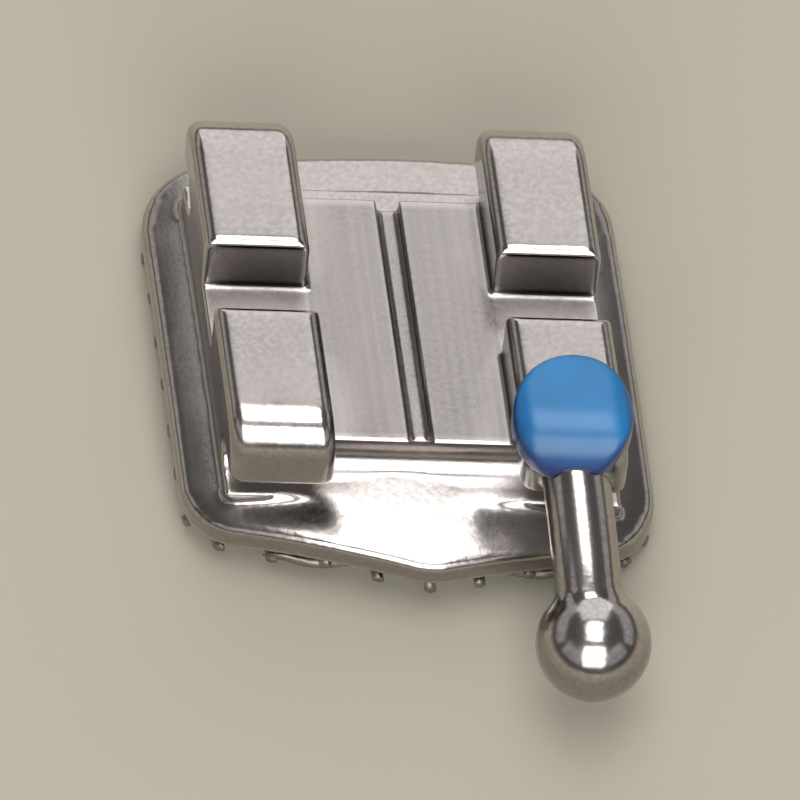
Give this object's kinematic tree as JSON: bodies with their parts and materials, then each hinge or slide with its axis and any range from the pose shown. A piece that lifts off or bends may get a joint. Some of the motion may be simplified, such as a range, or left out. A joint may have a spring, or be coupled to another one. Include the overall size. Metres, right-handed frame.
{
  "type": "orthodontic bracket",
  "caption": "Metal edgewise bracket with tie wings, an archwire slot, a ball hook, an enamel wing mark and a curved mesh base that is cemented to an upper canine.",
  "frame": {"origin": "centre of the curved bonding face, under the middle of the archwire slot", "axes": "+X along the archwire slot towards the distal side with the hook, +Y towards the biting edge, +Z away from the tooth"},
  "size_m": [0.0043, 0.0052, 0.0022],
  "materials": {
    "steel": "tumbled and polished",
    "mesh_wire": "dull drawn wire",
    "blue_enamel": "glossy"
  },
  "bodies": {
    "root": {"bracket_body": "steel", "bonding_mesh": "mesh_wire", "colour_mark": "blue_enamel"}
  },
  "joints": []
}
